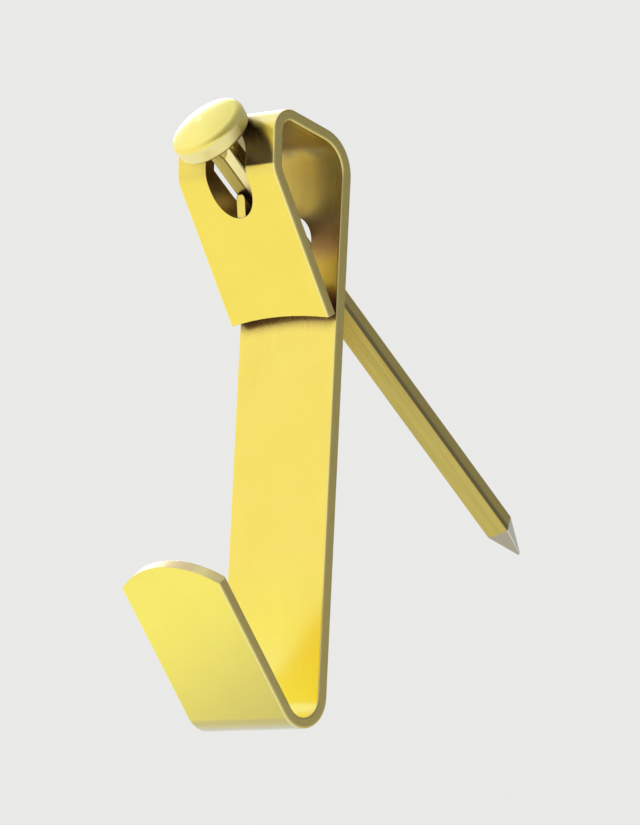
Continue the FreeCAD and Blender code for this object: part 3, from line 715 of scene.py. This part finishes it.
# %% Where a point of the nail is
nail_metal, wire, surface = new_material("plated_nail")
point, facing = placed(wire)
laid_flat = wire.node("ShaderNodeVectorRotate", {"Vector": point, "Angle": nail_fall},
                      rotation_type="X_AXIS").outputs["Vector"]
squared = wire.node(
    "ShaderNodeVectorRotate",
    {"Vector": laid_flat, "Center": (0, 0, axis_height), "Angle": shank_turn},
    rotation_type="Y_AXIS").outputs["Vector"]
spot = wire.axes(squared)
on_head = wire.step(spot["Y"], underside - 0.2, underside + 0.1, 1.0, 0.0)
on_point = wire.step(spot["Y"], shank_end - 0.1, shank_end + 0.1)
print("nail's coordinates ready")

# %% [markdown]
# ** The plating.** The nail is plated like the strip, but over bright wire, so it is
# paler. It uses the same four effects at its own strength: brown folds, painted shade, more
# wear on the arrises, and half of the crevice shade.

# %% Plate the nail
# The brown fold colour and the crevice colour are painted shade.
toned = wire.effect(tone, Place=point, Open=(1.0, 0.90, 0.28, 1), Cloud=(0.98, 0.86, 0.24, 1),
                    Fold=(0.34, 0.25, 0.12, 1), Stain=(0.17, 0.11, 0.06, 1),
                    Sheltered=0.8, Staining=0.5)
lines = wire.effect(grain, Place=laid_flat, Stretch=(1.0, 0.03, 1.0))
scratched = wire.effect(marks, Place=point, Density=0.8)
softened = wire.effect(arris, Wear=0.8)
print("nail plated")

# %% [markdown]
# ** The shank.** The plating is thin on the drawn shank, so its colour is multiplied by a
# dull one and streaked brown. One dark line is painted on the upper face, just beside its
# corner, a painted shade line, and the rubbed arrises are painted near-white, wear and a
# painted highlight. The line follows the grain, so it wanders a little.

# %% The shank's colour
dulling, streak_tone = (0.57, 0.525, 0.46, 1), (0.40, 0.31, 0.10, 1)
arris_highlight_tone, corner_shade_tone = (0.95, 0.92, 0.76, 1), (0.22, 0.165, 0.07, 1)
half_side, grain_middle = 0.80, 0.6

wander = wire.times(wire.math("SUBTRACT", lines["Height"], grain_middle), 0.25)
from_axis = wire.math("SUBTRACT", wire.math("ADD", spot["Z"], wander), axis_height)
upper_face = wire.step(spot["X"], half_side - 0.06, half_side)
# A painted shade line beside the upper face's corner.
corner_shade_line = wire.times(upper_face, wire.step(from_axis, -0.90, -0.82),
                      wire.step(from_axis, -0.46, -0.22, 1.0, 0.0))
drawn = wire.mix(1.0, toned["Color"], dulling, "MULTIPLY")
streaked = wire.mix(wire.times(lines["Streaks"], 0.35), drawn, streak_tone)
# The rubbed arrises are painted near-white: wear and a painted highlight.
rubbed_and_highlighted = wire.mix(softened["Rubbed"], streaked, arris_highlight_tone)
lined = wire.mix(wire.times(corner_shade_line, 0.85), rubbed_and_highlighted, corner_shade_tone)
print("shank coloured")

# %% [markdown]
# ** The neck.** Near the head one side of the lower face is painted bright, a painted
# highlight, with a thin dark line beside it, painted shade, and the neck's bright side just
# under the head is painted bright too. The line is too fine to be worth a groove in the
# solid, so it is only coloured.

# %% The neck's painted highlight and shade line
side_highlight_tone, shade_line_tone = (1.0, 0.90, 0.46, 1), (0.20, 0.14, 0.05, 1)
neck_highlight_tone = (1.0, 0.92, 0.46, 1)

near_head = wire.step(spot["Y"], underside + 3.2, underside + 5.5, 1.0, 0.0)
lower_face = wire.step(spot["Z"], axis_height - 0.70, axis_height - 0.74)
low_face_by_head = wire.times(near_head, lower_face)
bright_side = wire.step(spot["X"], 0.06, 0.14)
shade_line = wire.math("SUBTRACT", wire.step(spot["X"], -0.10, -0.02), bright_side)
# A painted highlight on one side of the lower face, with a painted shade line beside it.
side_highlighted = wire.mix(wire.times(low_face_by_head, bright_side), lined, side_highlight_tone)
shade_lined = wire.mix(wire.times(low_face_by_head, shade_line, 0.85), side_highlighted, shade_line_tone)
# A painted highlight on the neck's bright side, just under the head.
on_neck = wire.step(spot["Y"], underside + 0.9, underside + 1.6, 1.0, 0.0)
neck_highlighted = wire.mix(wire.times(on_neck, bright_side), shade_lined, neck_highlight_tone)
print("neck seamed")

# %% [markdown]
# ** The point.** Pinching jaws cut the wire off and form the pyramid, and leave it grey-brown.
# One flat of it is painted bright, a painted highlight. That flat is told apart by where the
# surface faces, in a direction turned with the nail.

# %% The point's colour
rough_flat, flat_highlight_tone = (0.42, 0.385, 0.29, 1), (0.93, 0.91, 0.80, 1)
along_nail = level.transposed() @ Vector((0, 1, 0))
across_flat = level.transposed() @ Vector((math.cos(shank_turn), 0, math.sin(shank_turn)))
# One flat of the point is painted bright: a painted highlight.
highlighted_flat = wire.step(wire.dot(facing, across_flat), 0.5, 0.8)
shank_colour = wire.mix(on_point, neck_highlighted, wire.mix(highlighted_flat, rough_flat, flat_highlight_tone))
print("point burnished along", [round(side, 2) for side in across_flat])

# %% [markdown]
# ** The head.** The lower, down-facing half of the dome is painted a deeper yellow, painted
# shade; the rim is rubbed pale; and the underside is painted dark brown, painted shade.
# Again the direction of the surface finds all three.

# %% The nail's colour
dome_shade_tone, rim_tone = (1.0, 0.83, 0.19, 1), (0.90, 0.83, 0.46, 1)
underside_shade_tone = (0.14, 0.09, 0.05, 1)

down_the_nail = wire.dot(facing, along_nail)
rim = wire.step(down_the_nail, -0.45, -0.10)
turned_down = wire.step(wire.axes(facing)["Z"], 0.50, 0.05)
# Painted shade: a deeper yellow on the dome's down-facing half.
dome_shaded = wire.mix(wire.times(turned_down, 0.75), toned["Color"], dome_shade_tone)
rimmed = wire.mix(wire.times(rim, 0.7), dome_shaded, rim_tone)
# Painted shade: the head's underside is painted dark brown.
head_colour = wire.mix(wire.step(down_the_nail, 0.35, 0.7), rimmed, underside_shade_tone)
wire.feed(wire.mix(on_head, shank_colour, head_colour), surface.inputs["Base Color"])
surface.inputs["Metallic"].default_value = 1.0
print("nail coloured")

# %% [markdown]
# **Gloss and relief.** The dome is the smoothest, its rubbed rim duller, and the shank
# varies with its streaks. The grain's relief stops at the head, because the heading die
# pressed it flat, while scratches cross both.

# %% The nail's gloss and relief
shank_roughness, drawing_adds = 0.22, 0.12
dome_roughness, rim_adds = 0.25, 0.20

shank_gloss = wire.math("ADD", shank_roughness, wire.times(lines["Streaks"], drawing_adds))
head_gloss = wire.math("ADD", dome_roughness, wire.times(rim, rim_adds))
wire.feed(wire.between(on_head, shank_gloss, head_gloss), surface.inputs["Roughness"])

relief = wire.math("SUBTRACT", wire.times(lines["Height"], wire.outside(on_head)),
                   wire.times(scratched["Mask"], scratch_depth))
give_relief(wire, surface, relief, softened["Normal"])
cover(nail, nail_metal)
print("nail's material:", len(wire.nodes), "nodes")
